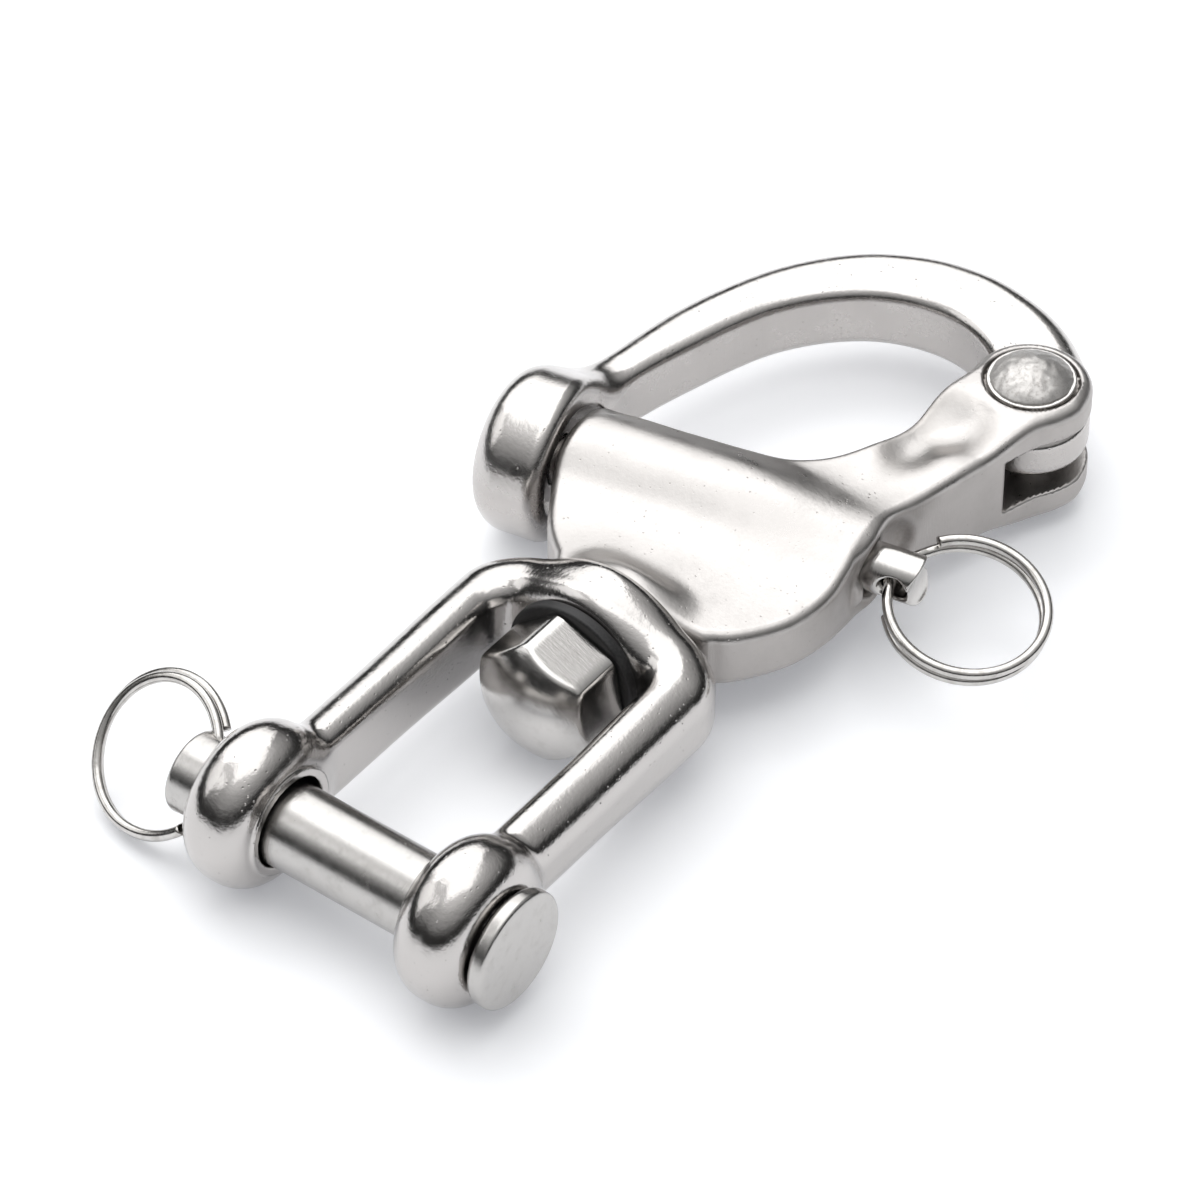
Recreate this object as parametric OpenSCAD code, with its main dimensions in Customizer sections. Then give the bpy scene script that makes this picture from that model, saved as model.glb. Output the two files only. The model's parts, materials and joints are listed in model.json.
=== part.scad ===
// Jaw swivel snap shackle, 128 mm class, cast stainless steel.
// X runs from the jaw to the bow, Y across the jaw, Z along the hinge rivet.
// The origin is the middle of the clevis pin. All sizes are in millimetres.

/* [Jaw] */
// clear width between the two jaw ears
jaw_gap = 20; // [16:0.5:24]
// thickness of each ear along the pin
ear_t = 9.4; // [7:0.2:12]
// outside diameter of each ear
ear_d = 19.6; // [17:0.2:22]
// hole through each ear
ear_bore_d = 10.9; // [10.6:0.1:11.4]
// from the pin axis to the inside face of the jaw base
jaw_depth = 38.9; // [36:0.1:42]
// thickness of the jaw base along the swivel
base_t = 7.6; // [6:0.2:9]

/* [Clevis pin] */
// pin diameter
pin_d = 10; // [8:0.1:10.4]
// pin head diameter
pin_head_d = 14.2; // [13:0.2:17]
// pin head thickness
pin_head_t = 2.5; // [2:0.1:4]
// how far the plain end stands past the ear
pin_stub = 4.6; // [4:0.2:9]

/* [Swivel] */
// swivel bolt shank diameter
swivel_d = 8.4; // [7:0.1:10]
// across the corners of the hexagon head
swivel_head_d = 16.8; // [15:0.2:18]
// head height without the dome
swivel_head_t = 6.2; // [4:0.1:8]
// black washer thickness
washer_t = 1.5; // [1:0.1:2]

/* [Body] */
// barrel outside diameter
barrel_d = 14.8; // [14:0.1:17]
// angle of the plunger to the Y axis
skew = 10.5; // [8:0.5:13]
// overall height of the fork at the rivet
fork_h = 15.4; // [14:0.2:17]
// outside diameter of the fork round the rivet
fork_d = 14.4; // [13.6:0.1:15.2]
// height of the slot for the bow
slot_h = 7.7; // [7.3:0.1:8.4]

/* [Bow] */
// thickness of the bow
bow_t = 8.8; // [7:0.1:9.6]
// thickness of the knuckle in the slot
knuckle_t = 7; // [6:0.1:7.1]
// outside diameter of the latch eye
eye_d = 19.8; // [18:0.2:22]
// thickness of the latch eye
eye_t = 8.8; // [7:0.2:10]

/* [Plunger] */
// plunger diameter
plunger_d = 6; // [5:0.1:6.4]
// reach of the plunger nose past the middle of the eye
nose_reach = 0.4; // [0:0.1:2]
// diameter of the spring chamber
chamber_d = 9.6; // [8.6:0.1:10]

/* [Rivet] */
// rivet shank diameter
rivet_d = 5; // [4:0.1:6]
// rivet head diameter
rivet_head_d = 9.7; // [8:0.1:10.6]
// rivet head height
rivet_head_h = 2.1; // [1:0.1:3]

/* [Split rings] */
// ring outside diameter
ring_d = 19.6; // [18:0.1:21]
// ring wire diameter
wire_d = 1.2; // [1:0.05:1.3]

/* [Hidden] */
$fn = 64;
c_cast = [0.72, 0.71, 0.70];
c_bright = [0.80, 0.80, 0.79];
c_turned = [0.66, 0.65, 0.64];
c_wire = [0.76, 0.75, 0.73];
c_black = [0.05, 0.05, 0.05];
c_spring = [0.60, 0.60, 0.62];
ear_y = jaw_gap / 2 + ear_t / 2;
base_x0 = jaw_depth;
base_x1 = jaw_depth + base_t;
body_x = base_x1 + 0.3;
head_x1 = base_x0 - washer_t - 0.1;
head_x0 = head_x1 - swivel_head_t;
pivot = [102.3, -18];
eye_c = [64.2, 25.2];
pin_y0 = -jaw_gap / 2 - ear_t - 0.35;
pin_y1 = jaw_gap / 2 + ear_t + pin_stub;
pin_hole_y = pin_y1 - 2.55;
pin_drop = 0.4;
pin_turn = 43.4;
barrel_s0 = -eye_t / 2 - 0.5;
barrel_s1 = -44.6;
dome_r = 6.4;
dome_h = 1.4;
lug_s = -49.6;
hole_s = -46.6;
lug_turn = -8.4;
wire_r = wire_d / 2;
ring_r = ring_d / 2 - wire_r;
// where each ring's wire crosses its hole, the wire's run there and the way to the ring's middle
clevis_at = [-0.07, 20.62, -0.36];
clevis_run = [0.686, 0.06, 0.725];
clevis_out = [0.083, 0.984, -0.16];
pull_at = [72.64, -20.13, 0.39];
pull_run = [0.986, 0.08, 0.145];
pull_out = [0.107, -0.977, -0.185];
// depth and width of the spot faces, and the washers that lie in them
spot_deep = 0.4;
spot_d = 13;
rivet_washer_d = 10.6;
rivet_washer_t = 0.53;
// spring chamber and spring, along the plunger's axis
chamber_s = -37;
chamber_len = 24;
spring_s = -36.9;
spring_len = 20.9;
// cross holes of the pin and of the plunger's lug
pin_hole_d = 3.5;
lug_hole_d = 3;
// stretch of slot behind and beside the rivet
slot_back = 10.6;
slot_side = 12;
slot_long = 26;
hex_turn = 50.5;
EPS = 0.01;

// turns the plunger axis, drawn along +Z, to its place in the shackle
module at_plunger() {
  translate([eye_c[0], eye_c[1], 0])
    rotate([0, 0, skew])
      rotate([-90, 0, 0])
        children();
}

module along_x() {
  rotate([0, 90, 0])
    children();
}

module along_y() {
  rotate([-90, 0, 0])
    children();
}

// ring with a round edge, lying about the Z axis
module round_disc(d, t, r) {
  rotate_extrude($fn = 72)
    hull_profile(d / 2, t, r);
}

// half section of a disc of radius R, thickness t and edge radius r
module hull_profile(R, t, r) {
  square([R - r, t]);
  translate([0, r])
    square([R, t - 2 * r]);
  translate([R - r, r])
    circle(r, $fn = 40);
  translate([R - r, t - r])
    circle(r, $fn = 40);
}

// skin through a list of rings of points
module skin(rings) {
  n = len(rings[0]);
  m = len(rings);
  pts = [for (r = rings) for (p = r) p];
  side = [for (i = [0 : m - 2]) for (j = [0 : n - 1])
    let (a = i * n + j, b = i * n + (j + 1) % n, c = a + n, d = b + n)
      each [[a, d, b], [a, c, d]]];
  cap0 = [[for (j = [0 : n - 1]) j]];
  cap1 = [[for (j = [n - 1 : -1 : 0]) (m - 1) * n + j]];
  polyhedron(points = pts, faces = concat(side, cap0, cap1), convexity = 8);
}

// rounded section standing between plan points a and b, half height h, edge ra at a and rb at b
function sec(a, b, h, ra, rb) =
  let (d = b - a, L = norm(d), u = d / L)
    [for (q = [
      [0, -h + ra], [ra * 0.29, -h + ra * 0.29], [ra, -h],
      [L - rb, -h], [L - rb * 0.29, -h + rb * 0.29], [L, -h + rb],
      [L, h - rb], [L - rb * 0.29, h - rb * 0.29], [L - rb, h],
      [ra, h], [ra * 0.29, h - ra * 0.29], [0, h - ra]])
      [a[0] + u[0] * q[0], a[1] + u[1] * q[0], q[1]]];

// bow: inner edge, outer edge, half height
bow_path = [
  [[68.6, 22.9], [69.6, 29.0], 3.3],
  [[73.0, 22.4], [74.4, 28.6], 3.9],
  [[78.0, 21.7], [79.6, 27.7], 4.3],
  [[83.0, 20.6], [85.2, 27.0], 4.4],
  [[88.0, 19.3], [90.8, 26.2], 4.4],
  [[93.0, 17.8], [96.4, 24.7], 4.4],
  [[97.4, 15.9], [101.4, 22.8], 4.4],
  [[101.3, 13.6], [106.2, 20.4], 4.4],
  [[104.6, 10.8], [110.4, 17.4], 4.4],
  [[107.0, 7.6], [114.0, 13.8], 4.4],
  [[108.7, 4.2], [116.8, 9.8], 4.4],
  [[109.5, 0.8], [118.7, 5.2], 4.4],
  [[109.6, -2.4], [119.6, 0.4], 4.4],
  [[109.0, -5.4], [119.5, -4.4], 4.4],
  [[107.6, -7.9], [118.4, -9.4], 4.4],
  [[105.9, -9.3], [116.2, -14.2], 4.4]];

module bow() {
  color(c_bright) difference() {
    union() {
      skin([for (p = bow_path) sec(p[0], p[1], p[2] * bow_t / 8.8, 1.9, 1.9)]);
      bow_shoulder();
      translate([pivot[0], pivot[1], -knuckle_t / 2])
        cylinder(h = knuckle_t, d = fork_d - 0.3, $fn = 96);
      at_plunger()
        translate([0, 0, -eye_t / 2])
          round_disc(eye_d, eye_t, 3.9);
    }
    translate([pivot[0], pivot[1], -8])
      cylinder(h = 16, d = rivet_d + 0.1);
    at_plunger()
      translate([0, 0, -8])
        cylinder(h = 16, d = plunger_d + 0.16);
    at_plunger()
      translate([0, 0, -eye_t / 2 - 1])
        cylinder(h = 1.7, r = dome_r + 0.5);
    at_plunger()
      translate([0, 0, -eye_t / 2 - 1])
        cylinder(h = 2.6, r1 = dome_r + 1.3, r2 = 4.6);
    fork_sweep();
  }
}

// full thickness shoulder between the bow and the knuckle
module bow_shoulder() {
  linear_extrude(height = bow_t - 2, center = true)
    polygon([[108.4, -9.2], [116.0, -13.4], [114.6, -17.4], [112.2, -20.0], [109.6, -21.8],
      [106.5, -23.2], [102.3, -18], [99.5, -12.4], [102.3, -10.4], [105.7, -9.5]]);
  linear_extrude(height = bow_t, center = true)
    polygon([[108.0, -9.6], [114.9, -13.2], [113.3, -16.6], [111.2, -18.8], [109.0, -20.2],
      [102.3, -18], [102.6, -11.8], [106.0, -9.9]]);
}

// room swept by the two cheeks of the fork
module fork_sweep() {
  for (s = [-1, 1])
    translate([pivot[0], pivot[1], s * (knuckle_t / 2 + 4)])
      cylinder(h = 8, d = fork_d + 0.7, center = true, $fn = 96);
}

// body web: outer edge, inner edge, half height
web_path = [
  [[47.2, -9.4], [47.2, 8.6], 6.2],
  [[48.4, -12.6], [48.6, 10.6], 6.2],
  [[50.6, -14.6], [51.4, 13.2], 6.2],
  [[53.6, -16.4], [55.0, 16.2], 6.0],
  [[57.2, -17.8], [59.0, 18.4], 5.8],
  [[61.2, -18.5], [63.4, 19.6], 5.6],
  [[65.4, -18.3], [67.6, 18.2], 5.4],
  [[69.6, -17.6], [70.8, 10.0], 5.4],
  [[73.4, -17.1], [73.6, 3.2], 5.6],
  [[77.0, -17.4], [76.6, -1.2], 5.8],
  [[80.4, -18.5], [79.6, -4.6], 6.0],
  [[84.0, -19.7], [83.2, -7.3], 6.2],
  [[87.6, -20.5], [87.2, -9.2], 6.6],
  [[91.0, -21.3], [91.4, -10.1], 7.0],
  [[94.4, -22.4], [95.6, -10.6], 7.4],
  [[98.0, -23.8], [99.6, -10.9], 7.6]];

module main_body() {
  color(c_cast) difference() {
    union() {
      skin([for (p = web_path) sec(p[0], p[1], p[2], 2.4, 2.6)]);
      translate([pivot[0], pivot[1], -fork_h / 2])
        round_disc(fork_d, fork_h, 1.4);
      at_plunger()
        barrel();
      translate([body_x, 0, 0])
        along_x()
          cylinder(h = 16, d = 15);
    }
    // slot for the bow, open to the front and to the outer side
    translate([pivot[0], pivot[1], 0])
      cylinder(h = slot_h, d = fork_d + 0.8, center = true, $fn = 96);
    translate([pivot[0] - slot_back, pivot[1] - slot_side, -slot_h / 2])
      cube([slot_long, slot_side, slot_h]);
    translate([pivot[0], pivot[1] - slot_side, -slot_h / 2])
      cube([slot_long, 2 * slot_side, slot_h]);
    // rivet hole and the two spot faces
    translate([pivot[0], pivot[1], -9])
      cylinder(h = 18, d = rivet_d + 0.02);
    for (s = [-1, 1])
      translate([pivot[0], pivot[1], s * (fork_h / 2 + 2 - spot_deep)])
        cylinder(h = 4, d = spot_d, center = true);
    // stepped bore of the plunger
    at_plunger()
      translate([0, 0, barrel_s1 - 2])
        cylinder(h = 50, d = plunger_d + 0.1);
    at_plunger()
      translate([0, 0, chamber_s])
        cylinder(h = chamber_len, d = chamber_d);
    // thread hole of the swivel bolt
    translate([body_x - 1, 0, 0])
      along_x()
        cylinder(h = 12.2, d = swivel_d + 0.02);
  }
}

// barrel about its own axis, nose cap towards the eye
module barrel() {
  translate([0, 0, barrel_s1])
    rotate_extrude($fn = 96) {
      square([barrel_d / 2 - 1.6, barrel_s0 - barrel_s1]);
      translate([0, 2])
        square([barrel_d / 2, barrel_s0 - barrel_s1 - 3.6]);
      translate([barrel_d / 2 - 1.6, barrel_s0 - barrel_s1 - 1.6])
        circle(1.6, $fn = 40);
      translate([barrel_d / 2 - 2, 2])
        circle(2, $fn = 40);
    }
  translate([0, 0, barrel_s0 - EPS])
    cylinder(h = dome_h, r1 = dome_r, r2 = dome_r - 2.4);
}

module pivot_rivet() {
  top = fork_h / 2 - spot_deep + 0.55;
  color(c_turned) {
    translate([pivot[0], pivot[1], -top - EPS])
      cylinder(h = 2 * top + 2 * EPS, d = rivet_d);
    for (s = [0, 1])
      translate([pivot[0], pivot[1], 0])
        mirror([0, 0, s])
          translate([0, 0, top])
            rivet_dome();
  }
}

// domed rivet head, flat side down
module rivet_dome() {
  R = (rivet_head_d * rivet_head_d / 4 + rivet_head_h * rivet_head_h) / (2 * rivet_head_h);
  intersection() {
    translate([0, 0, rivet_head_h - R])
      sphere(R, $fn = 96);
    cylinder(h = rivet_head_h + 1, d = rivet_head_d + 1);
  }
}

module rivet_washer_top() {
  color(c_cast)
    translate([pivot[0], pivot[1], fork_h / 2 - spot_deep + EPS])
      washer_ring(rivet_washer_d, rivet_d + 0.1, rivet_washer_t);
}

module rivet_washer_bottom() {
  color(c_cast)
    translate([pivot[0], pivot[1], -fork_h / 2 + spot_deep - EPS - rivet_washer_t])
      washer_ring(rivet_washer_d, rivet_d + 0.1, rivet_washer_t);
}

module washer_ring(od, id, t) {
  difference() {
    cylinder(h = t, d = od, $fn = 72);
    translate([0, 0, -1])
      cylinder(h = t + 2, d = id);
  }
}

module plunger() {
  color(c_turned) at_plunger() difference() {
    union() {
      translate([0, 0, hole_s])
        cylinder(h = nose_reach - 0.8 - hole_s, d = plunger_d);
      translate([0, 0, nose_reach - 0.8 - EPS])
        cylinder(h = 0.8 + EPS, d1 = plunger_d, d2 = plunger_d - 1.4);
      translate([0, 0, -15.9])
        cylinder(h = 2.4, d = chamber_d - 0.3);
      translate([0, 0, lug_s])
        round_disc(plunger_d, 5.4, 0.5);
    }
    translate([0, 0, hole_s])
      along_lug()
        cylinder(h = 12, d = lug_hole_d, center = true);
  }
}

// direction of the cross hole in the plunger lug
module along_lug() {
  rotate([0, 0, lug_turn])
    rotate([0, 90, 0])
      children();
}

module plunger_spring() {
  color(c_spring) at_plunger()
    translate([0, 0, spring_s])
      difference() {
        cylinder(h = spring_len, d = chamber_d - 0.7);
        translate([0, 0, -1])
          cylinder(h = spring_len + 2, d = chamber_d - 2.6);
      }
}

// jaw: sweep of one half, from the ear round to the middle of the base
leg_path = [
  [[3.0, 10.9], [3.0, 17.6], 5.6],
  [[8.0, 10.9], [8.0, 17.3], 5.4],
  [[14.0, 10.9], [14.0, 17.3], 5.4],
  [[22.0, 10.9], [22.0, 17.3], 5.5],
  [[30.0, 10.9], [30.0, 17.3], 5.7],
  [[35.0, 10.9], [35.6, 17.3], 6.0],
  [[38.2, 10.5], [40.4, 16.8], 6.4],
  [[38.84, 9.6], [43.6, 14.6], 6.8],
  [[38.9, 7.4], [45.6, 11.2], 7.4],
  [[38.9, 4.4], [46.4, 6.6], 8.4],
  [[38.9, 0.0], [46.5, 0.0], 8.8]];

module jaw() {
  color(c_bright) difference() {
    union() {
      for (s = [0, 1])
        mirror([0, s, 0]) {
          translate([0, jaw_gap / 2, 0])
            along_y()
              round_disc(ear_d, ear_t, 3.7);
          skin([for (p = leg_path) sec(p[0], p[1], p[2], 1.4, 3.1)]);
        }
      translate([base_x0, 0, 0])
        along_x()
          round_disc(20, base_t, 2.4);
    }
    for (s = [0, 1])
      mirror([0, s, 0])
        translate([0, jaw_gap / 2 - 1, 0])
          along_y()
            cylinder(h = ear_t + 2, d = ear_bore_d);
    translate([base_x0 - 2, 0, 0])
      along_x()
        cylinder(h = base_t + 4, d = swivel_d + 0.16);
  }
}

module swivel_bolt() {
  dome = 3.6;
  ra = swivel_head_d / 2;
  R = (ra * ra + dome * dome) / (2 * dome);
  color(c_turned) {
    intersection() {
      translate([head_x0 - dome, 0, 0])
        rotate([hex_turn, 0, 0])
          along_x()
            cylinder(h = swivel_head_t + dome, d = swivel_head_d, $fn = 6);
      translate([head_x0 - dome + R, 0, 0])
        along_x()
          union() {
            sphere(R, $fn = 96);
            cylinder(h = R, r = ra);
          }
    }
    translate([head_x1 - EPS, 0, 0])
      along_x()
        cylinder(h = body_x + 11 - head_x1, d = swivel_d);
  }
}

module swivel_washer() {
  color(c_black)
    translate([head_x1 + 0.02, 0, 0])
      along_x()
        washer_ring(17.4, swivel_d + 0.1, washer_t - 0.02);
}

module clevis_pin() {
  color(c_turned) translate([0, 0, -pin_drop]) difference() {
    union() {
      translate([0, pin_y0, 0])
        along_y()
          cylinder(h = pin_y1 - pin_y0 - 0.6, d = pin_d, $fn = 96);
      translate([0, pin_y1 - 0.6 - EPS, 0])
        along_y()
          cylinder(h = 0.6 + EPS, d1 = pin_d, d2 = pin_d - 1.2, $fn = 96);
      translate([0, pin_y0 - pin_head_t, 0])
        along_y()
          round_disc(pin_head_d, pin_head_t, 0.9);
    }
    translate([0, pin_hole_y, 0])
      rotate([0, pin_turn, 0])
        cylinder(h = 14, d = pin_hole_d, center = true);
  }
}

// split ring of two turns about Z; the single run is centred on +X
function ring_pts(n, a1, gap) =
  [for (i = [0 : n])
    let (t = -a1 + 2 * a1 * i / n, rise = min(1, max(-1, t / 32)))
      [t, rise * gap]];

function ring_section(t, z, r, w) =
  [for (j = [0 : 7])
    let (a = 22.5 - j * 45, rr = r + w * cos(a))
      [rr * cos(t), rr * sin(t), z + w * sin(a)]];

module split_ring() {
  skin([for (q = ring_pts(84, 325, wire_r + 0.03))
    ring_section(q[0], q[1], ring_r, wire_r)]);
}

// puts a ring drawn about Z through a point, its wire running along t and its middle towards d
module lay_ring(at, t, d) {
  u = t / norm(t);
  w = d - u * (d * u);
  v = w / norm(w);
  n = cross(u, v);
  multmatrix([
    [-v[0], u[0], n[0], at[0]],
    [-v[1], u[1], n[1], at[1]],
    [-v[2], u[2], n[2], at[2]],
    [0, 0, 0, 1]])
    translate([-ring_r, 0, 0])
      children();
}

module clevis_ring() {
  color(c_wire)
    lay_ring(clevis_at, clevis_run, clevis_out)
      split_ring();
}

module pull_ring() {
  color(c_wire)
    lay_ring(pull_at, pull_run, pull_out)
      split_ring();
}

main_body();
bow();
pivot_rivet();
rivet_washer_top();
rivet_washer_bottom();
plunger();
plunger_spring();
pull_ring();
jaw();
swivel_bolt();
swivel_washer();
clevis_pin();
clevis_ring();
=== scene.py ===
"""Looks of the jaw swivel snap shackle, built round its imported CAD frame.

The castings and turned parts are signed distance fields in millimetres, meshed here with normals
taken from the field. +X runs from the jaw to the bow, +Y along the clevis pin, +Z along the rivet.
"""

import json
import math

import bpy
import numpy as np
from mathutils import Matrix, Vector


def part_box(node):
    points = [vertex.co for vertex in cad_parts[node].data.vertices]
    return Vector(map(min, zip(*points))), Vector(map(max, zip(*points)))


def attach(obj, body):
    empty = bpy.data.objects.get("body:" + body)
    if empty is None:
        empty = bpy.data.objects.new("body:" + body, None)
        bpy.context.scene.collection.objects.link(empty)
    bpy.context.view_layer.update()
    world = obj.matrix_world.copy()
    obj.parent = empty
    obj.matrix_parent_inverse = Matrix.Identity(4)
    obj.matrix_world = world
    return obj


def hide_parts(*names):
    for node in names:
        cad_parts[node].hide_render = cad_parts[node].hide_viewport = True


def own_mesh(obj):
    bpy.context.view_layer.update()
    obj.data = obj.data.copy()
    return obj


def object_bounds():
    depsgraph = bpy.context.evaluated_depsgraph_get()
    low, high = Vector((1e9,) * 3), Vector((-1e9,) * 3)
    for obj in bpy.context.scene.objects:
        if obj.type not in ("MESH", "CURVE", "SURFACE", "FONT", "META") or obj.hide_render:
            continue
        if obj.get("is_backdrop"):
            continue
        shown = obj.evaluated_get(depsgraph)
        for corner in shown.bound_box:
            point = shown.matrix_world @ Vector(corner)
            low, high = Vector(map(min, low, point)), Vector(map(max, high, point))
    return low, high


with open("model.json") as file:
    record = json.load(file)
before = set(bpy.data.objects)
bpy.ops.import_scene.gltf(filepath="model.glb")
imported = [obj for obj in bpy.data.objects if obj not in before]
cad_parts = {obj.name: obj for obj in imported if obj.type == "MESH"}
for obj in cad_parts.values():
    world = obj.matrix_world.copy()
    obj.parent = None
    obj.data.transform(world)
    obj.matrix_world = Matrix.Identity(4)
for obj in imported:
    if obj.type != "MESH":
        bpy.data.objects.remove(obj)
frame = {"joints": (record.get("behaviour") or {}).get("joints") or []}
cad_low, cad_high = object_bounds()

MM = 0.001


def node_box(name):
    """Lowest and highest corner of a CAD node, in millimetres."""
    low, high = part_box(name)
    return np.array(low) / MM, np.array(high) / MM


# ---------------------------------------------------------------- sizes, in millimetres
# taken from the CAD frame where it holds them, and otherwise the same as in the part's source
joints = {joint["name"]: joint for joint in frame["joints"]}
PIVOT = np.array(joints["bow_swing"]["pos_m"][:2]) / MM
OUT_X, OUT_Y, _ = joints["plunger_pull"]["axis"]  # the plunger's way out, in the XY plane
EYE = np.array([64.2, 25.2])
EAR_R = -node_box("jaw")[0][0]
EAR_INNER = 10.0
EAR_HALF = 4.7
EAR_Y = EAR_INNER + EAR_HALF
BASE_X0, BASE_X1 = 38.9, node_box("jaw")[1][0]
BODY_X = node_box("main_body")[0][0]
BODY_HALF = node_box("main_body")[1][2]
BARREL_R, BARREL_NOSE, BARREL_END = 7.4, -4.9, -44.6
EYE_R, EYE_HALF = 9.9, 4.4
FORK_R, SLOT_HALF, KNUCKLE_HALF = 7.2, 3.85, 3.5
BOW_HALF = 4.4
RIVET_R, BOLT_R, PLUNGER_R = 2.5, 4.2, 3.0
TABLE_Z = cad_low[2] / MM


# ---------------------------------------------------------------- distance field tools
# The last argument of blend_min, blend_max, round_max and disc is the radius of the fillet or edge.
def length(*parts):
    return np.sqrt(sum(part * part for part in parts))


def blend_min(a, b, k):
    """Union with a fillet of about k."""
    h = np.clip(0.5 + 0.5 * (b - a) / k, 0, 1)
    return b + (a - b) * h - k * h * (1 - h)


def blend_max(a, b, k):
    """Intersection with an edge blunted by about k; with a negative b, a cut."""
    return -blend_min(-a, -b, k)


def round_max(a, b, r):
    """Intersection with an edge of radius r."""
    corner = length(np.maximum(a + r, 0), np.maximum(b + r, 0))
    return np.minimum(np.maximum(a, b) + r, 0) + corner - r


def disc(rho, z, radius, half, edge):
    """Round plate or bar, where rho is the distance from its axis and z the place along it."""
    return round_max(rho - radius, np.abs(z) - half, edge)


def ellipsoid(x, y, z, a, b, c):
    k = length(x / a, y / b, z / c)
    return (k - 1) * min(a, b, c)


def step(x, low, high):
    """Smooth rise from 0 at low to 1 at high."""
    t = np.clip((x - low) / (high - low), 0, 1)
    return t * t * (3 - 2 * t)


def spline(points, parts=7):
    """Closed Catmull-Rom curve through given points."""
    p = np.array(points, float)
    p = np.vstack([p[-1:], p, p[:2]])
    t = np.linspace(0, 1, parts, endpoint=False)[:, None]
    pieces = []
    for a, b, c, d in zip(p[:-3], p[1:-2], p[2:-1], p[3:]):
        pieces.append(0.5 * (2 * b + (c - a) * t + (2 * a - 5 * b + 4 * c - d) * t**2
                             + (3 * b - a - 3 * c + d) * t**3))
    return np.vstack(pieces)


def outline(x, y, points):
    """Signed distance to a closed outline in the plane."""
    shape = np.broadcast(x, y).shape
    nearest = np.full(shape, 1e9)
    inside = np.zeros(shape, bool)
    for a, b in zip(points, np.roll(points, -1, axis=0)):
        edge = b - a
        px, py = x - a[0], y - a[1]
        t = np.clip((px * edge[0] + py * edge[1]) / (edge @ edge + 1e-12), 0, 1)
        nearest = np.minimum(nearest, (px - edge[0] * t) ** 2 + (py - edge[1] * t) ** 2)
        crosses = (a[1] > y) != (b[1] > y)
        where = a[0] + edge[0] * (y - a[1]) / (edge[1] if abs(edge[1]) > 1e-9 else 1e-9)
        inside ^= crosses & (x < where)
    return np.where(inside, -1, 1) * np.sqrt(nearest)


def plunger_frame(x, y):
    """Place across and along the plunger's axis from the eye's middle; along grows towards the nose."""
    dx, dy = x - EYE[0], y - EYE[1]
    return -dx * OUT_Y + dy * OUT_X, -dx * OUT_X - dy * OUT_Y


# ---------------------------------------------------------------- meshing
def surface(field, low, high, cell):
    """Surface nets over a distance field: vertices moved onto the surface, with its own normals."""
    axes = [np.arange(low[i] - 2 * cell, high[i] + 3 * cell, cell) for i in range(3)]
    gx, gy, gz = axes[0][:, None, None], axes[1][None, :, None], axes[2][None, None, :]
    shape = tuple(len(a) for a in axes)
    value = np.broadcast_to(field(gx, gy, gz), shape).astype(np.float32)
    inside = value < 0
    count = sum(inside[i:shape[0] - 1 + i, j:shape[1] - 1 + j, k:shape[2] - 1 + k].astype(np.int8)
                for i in (0, 1) for j in (0, 1) for k in (0, 1))
    active = (count > 0) & (count < 8)
    cells = np.argwhere(active)
    number = np.full(active.shape, -1, np.int64)
    number[active] = np.arange(len(cells))
    corners = [(i, j, k) for i in (0, 1) for j in (0, 1) for k in (0, 1)]
    total = np.zeros((len(cells), 3))
    hits = np.zeros(len(cells))
    for a in corners:
        for b in corners:
            if sum(b) - sum(a) != 1 or sum(abs(p - q) for p, q in zip(a, b)) != 1:
                continue
            va = value[cells[:, 0] + a[0], cells[:, 1] + a[1], cells[:, 2] + a[2]]
            vb = value[cells[:, 0] + b[0], cells[:, 1] + b[1], cells[:, 2] + b[2]]
            cross = (va < 0) != (vb < 0)
            t = np.where(cross, va / np.where(va == vb, 1, va - vb), 0)[:, None]
            total += np.where(cross[:, None], np.array(a) + t * (np.array(b) - np.array(a)), 0)
            hits += cross
    origin = np.array([a[0] for a in axes])
    points = origin + cell * (cells + total / hits[:, None])

    def gradient(p, h=0.02):
        parts = []
        for axis in range(3):
            shift = np.zeros(3)
            shift[axis] = h
            up, down = p + shift, p - shift
            parts.append((field(*up.T) - field(*down.T)) / (2 * h))
        return np.stack(parts, 1)

    for _ in range(3):
        g = gradient(points)
        size = np.maximum((g * g).sum(1), 0.25)
        move = -(field(*points.T) / size)[:, None] * g
        points = points + np.clip(move, -0.4 * cell, 0.4 * cell)
    normal = gradient(points, 0.05)
    normal /= np.maximum(np.linalg.norm(normal, axis=1), 1e-9)[:, None]
    # hollow places read positive: the field's value a little way out along the normal falls short
    reach = 1.2
    hollow = np.clip((reach - field(*(points + reach * normal).T)) / reach, 0, 1)

    faces = []
    for axis in range(3):
        u, v = [a for a in range(3) if a != axis]
        first = np.take(inside, range(shape[axis] - 1), axis)
        second = np.take(inside, range(1, shape[axis]), axis)
        spots = np.argwhere(first != second)
        spots = spots[(spots[:, u] > 0) & (spots[:, v] > 0)]
        spots = spots[(spots[:, u] < shape[u] - 1) & (spots[:, v] < shape[v] - 1)]
        flip = first[spots[:, 0], spots[:, 1], spots[:, 2]]
        quad = []
        for du, dv in ((1, 1), (0, 1), (0, 0), (1, 0)):
            c = spots.copy()
            c[:, u] -= du
            c[:, v] -= dv
            quad.append(number[c[:, 0], c[:, 1], c[:, 2]])
        quad = np.stack(quad, 1)
        if axis == 1:
            flip = ~flip
        quad[~flip] = quad[~flip][:, ::-1]
        faces.append(quad)
    faces = np.vstack(faces)
    return points, faces[(faces >= 0).all(1)], normal, hollow


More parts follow.
